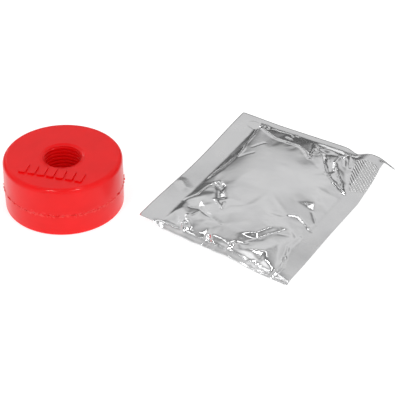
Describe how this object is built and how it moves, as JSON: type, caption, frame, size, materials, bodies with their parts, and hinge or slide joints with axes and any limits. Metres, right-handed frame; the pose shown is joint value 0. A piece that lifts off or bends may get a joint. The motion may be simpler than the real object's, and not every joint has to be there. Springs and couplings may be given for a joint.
{
  "type": "watch case opening friction puck with sealed sachet",
  "caption": "Round moulded friction puck with a blind threaded hole for a case opener spindle, and a flat sealed foil sachet that holds a pad of friction compound.",
  "frame": {"origin": "centre of the puck's flat working face, which rests on the table", "axes": "+Z along the threaded hole, out of its mouth; +X towards the side where the sachet lies; +Y away from the raised tablets"},
  "size_m": [0.197, 0.1392, 0.0278],
  "materials": {
    "red_polyurethane": "satin moulded polyurethane, slightly waxy",
    "foil_laminate": "bright crumpled foil laminate",
    "friction_compound": "matte tacky compound"
  },
  "bodies": {
    "puck": {"friction_puck": "red_polyurethane"},
    "sachet": {"sachet_top_foil": "foil_laminate", "sachet_bottom_foil": "foil_laminate", "friction_pad": "friction_compound"}
  },
  "joints": [
    {"name": "sachet_lift", "type": "slide", "parent": "puck", "child": "sachet", "axis": [0, 0, 1], "range_m": [0, 0.06]}
  ]
}
